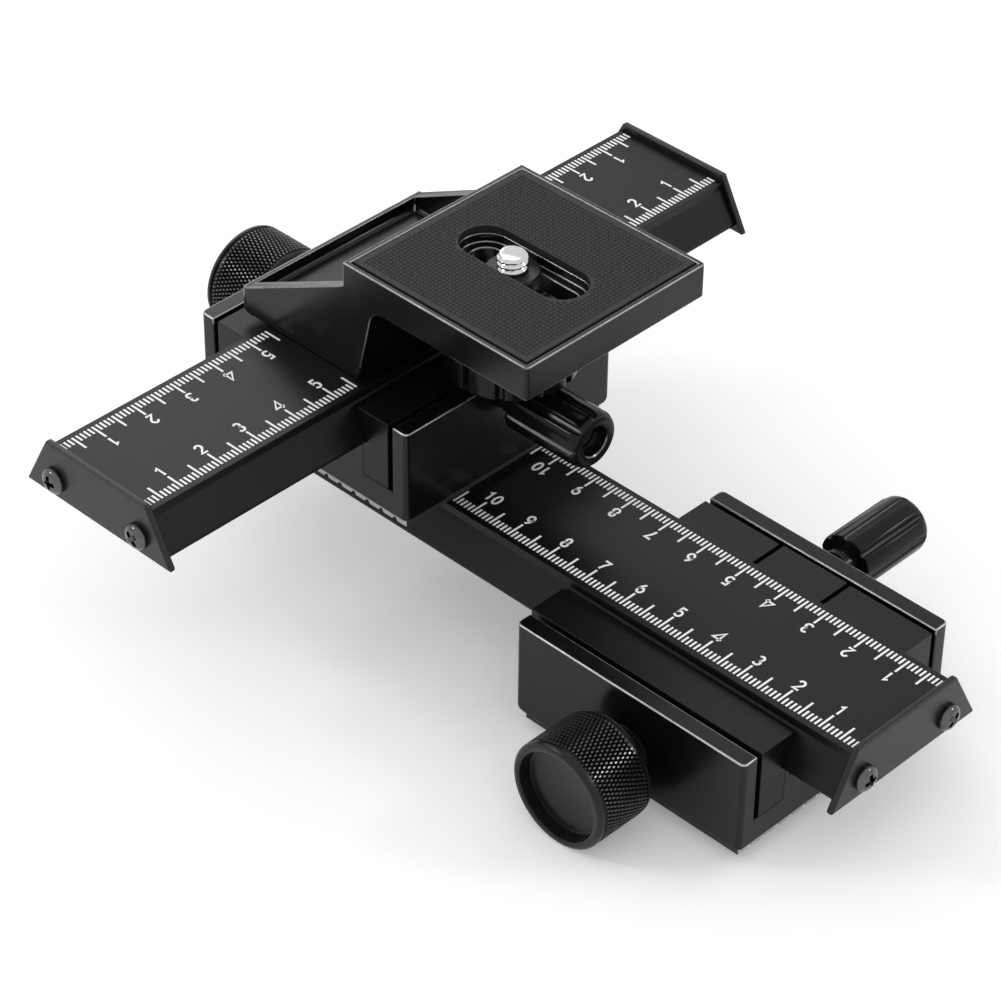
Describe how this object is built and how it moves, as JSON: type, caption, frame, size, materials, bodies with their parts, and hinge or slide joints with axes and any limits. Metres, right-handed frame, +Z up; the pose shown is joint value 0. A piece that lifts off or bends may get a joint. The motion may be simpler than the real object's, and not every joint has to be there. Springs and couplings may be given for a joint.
{
  "type": "macro focusing rail",
  "caption": "Two-axis camera focusing rail: crossed dovetail rails on square carriages, rack-and-pinion focus knobs, lock knobs and a slotted camera plate.",
  "frame": {"origin": "mouth of the tripod socket, at the middle of the base block's resting face", "axes": "+X along the lower rail to its free end, +Y along the upper rail away from the base focus knob, +Z up"},
  "size_m": [0.185, 0.1658, 0.079],
  "materials": {
    "black_casting": "semi-gloss black enamel over a casting",
    "black_rail": "black anodised, fine drawn grain, white scale print",
    "black_plate": "black anodised sheet",
    "rubber": "matt black rubber",
    "black_knob": "black anodised, knurled or fluted",
    "gear_steel": "machined steel",
    "bronze": "sintered bronze",
    "bright_steel": "polished steel",
    "black_washer": "black acetal",
    "black_screw": "black oxide steel"
  },
  "bodies": {
    "base": {"base_block": "black_casting", "base_pad": "rubber", "base_bush": "bright_steel", "base_fixed_jaw": "black_rail", "base_lock_jaws": "black_rail", "base_jaw_screws": "black_screw", "base_focus_bush": "bronze", "base_thrust_washer": "black_washer"},
    "base_focus": {"base_pinion": "gear_steel", "base_focus_knob": "black_knob", "base_knob_set_screw": "black_screw"},
    "base_clamp": {"base_clamp_pad": "black_rail"},
    "base_lock": {"base_lock_screw": "bright_steel", "base_lock_knob": "black_knob"},
    "lower_slide": {"lower_rail": "black_rail", "lower_rack": "gear_steel", "lower_rack_screws": "black_screw", "lower_end_plates": "black_plate", "lower_plate_screws": "black_screw", "joining_bolt": "bright_steel", "locating_pins": "bright_steel", "upper_block": "black_casting", "upper_pad": "rubber", "upper_bush": "bright_steel", "upper_fixed_jaw": "black_rail", "upper_lock_jaws": "black_rail", "upper_jaw_screws": "black_screw", "upper_focus_bush": "bronze", "upper_thrust_washer": "black_washer"},
    "upper_focus": {"upper_pinion": "gear_steel", "upper_focus_knob": "black_knob", "upper_knob_set_screw": "black_screw"},
    "upper_clamp": {"upper_clamp_pad": "black_rail"},
    "upper_lock": {"upper_lock_screw": "bright_steel", "upper_lock_knob": "black_knob"},
    "upper_slide": {"upper_rail": "black_rail", "upper_rack": "gear_steel", "upper_rack_screws": "black_screw", "upper_end_plates": "black_plate", "upper_plate_screws": "black_screw", "camera_bracket": "black_casting", "bracket_screws": "black_screw", "camera_plate_pad": "rubber"},
    "screw_slider": {"slot_washer": "black_washer"},
    "screw_lift": {"hub_washer": "black_washer"},
    "camera_screw_turn": {"camera_screw": "bright_steel", "captive_knob": "black_knob"}
  },
  "joints": [
    {"name": "lower_rail_slide", "type": "slide", "parent": "base", "child": "lower_slide", "axis": [1, 0, 0], "range_m": [-0.0123, 0.0872]},
    {"name": "base_focus_turn", "type": "hinge", "parent": "base", "child": "base_focus", "pos_m": [0, 0, 0.009], "axis": [0, 1, 0], "range_deg": [-147.12, 1041.17]},
    {"name": "base_clamp_slide", "type": "slide", "parent": "base", "child": "base_clamp", "axis": [0, 1, 0], "range_m": [-0.0003, 0.0008]},
    {"name": "base_lock_turn", "type": "hinge", "parent": "base_clamp", "child": "base_lock", "pos_m": [0, 0, 0.0186], "axis": [0, 1, 0], "range_deg": [-108.3, 288.3]},
    {"name": "upper_rail_slide", "type": "slide", "parent": "lower_slide", "child": "upper_slide", "axis": [0, 1, 0], "range_m": [-0.0484, 0.0511]},
    {"name": "upper_focus_turn", "type": "hinge", "parent": "lower_slide", "child": "upper_focus", "pos_m": [-0.0916, 0.0027, 0.034], "axis": [1, 0, 0], "range_deg": [-610.26, 578.03]},
    {"name": "upper_clamp_slide", "type": "slide", "parent": "lower_slide", "child": "upper_clamp", "axis": [1, 0, 0], "range_m": [-0.0003, 0.0008]},
    {"name": "upper_lock_turn", "type": "hinge", "parent": "upper_clamp", "child": "upper_lock", "pos_m": [-0.0916, 0.0027, 0.0436], "axis": [1, 0, 0], "range_deg": [-108.3, 288.3]},
    {"name": "camera_screw_slide", "type": "slide", "parent": "upper_slide", "child": "screw_slider", "axis": [1, 0, 0], "range_m": [-0.0008, 0.0129]},
    {"name": "camera_screw_lift", "type": "slide", "parent": "screw_slider", "child": "screw_lift", "axis": [0, 0, 1], "range_m": [0, 0.0058]},
    {"name": "camera_screw_spin", "type": "hinge", "parent": "screw_lift", "child": "camera_screw_turn", "pos_m": [-0.0623, 0.0027, 0.05], "axis": [0, 0, 1], "continuous": true}
  ],
  "couplings": [
    {"joint": "base_focus_turn", "follows": "lower_rail_slide", "rad_per_m": 208.33},
    {"joint": "upper_focus_turn", "follows": "upper_rail_slide", "rad_per_m": -208.33},
    {"joint": "base_lock_turn", "follows": "base_clamp_slide", "rad_per_m": 6283.2},
    {"joint": "upper_lock_turn", "follows": "upper_clamp_slide", "rad_per_m": 6283.2}
  ]
}
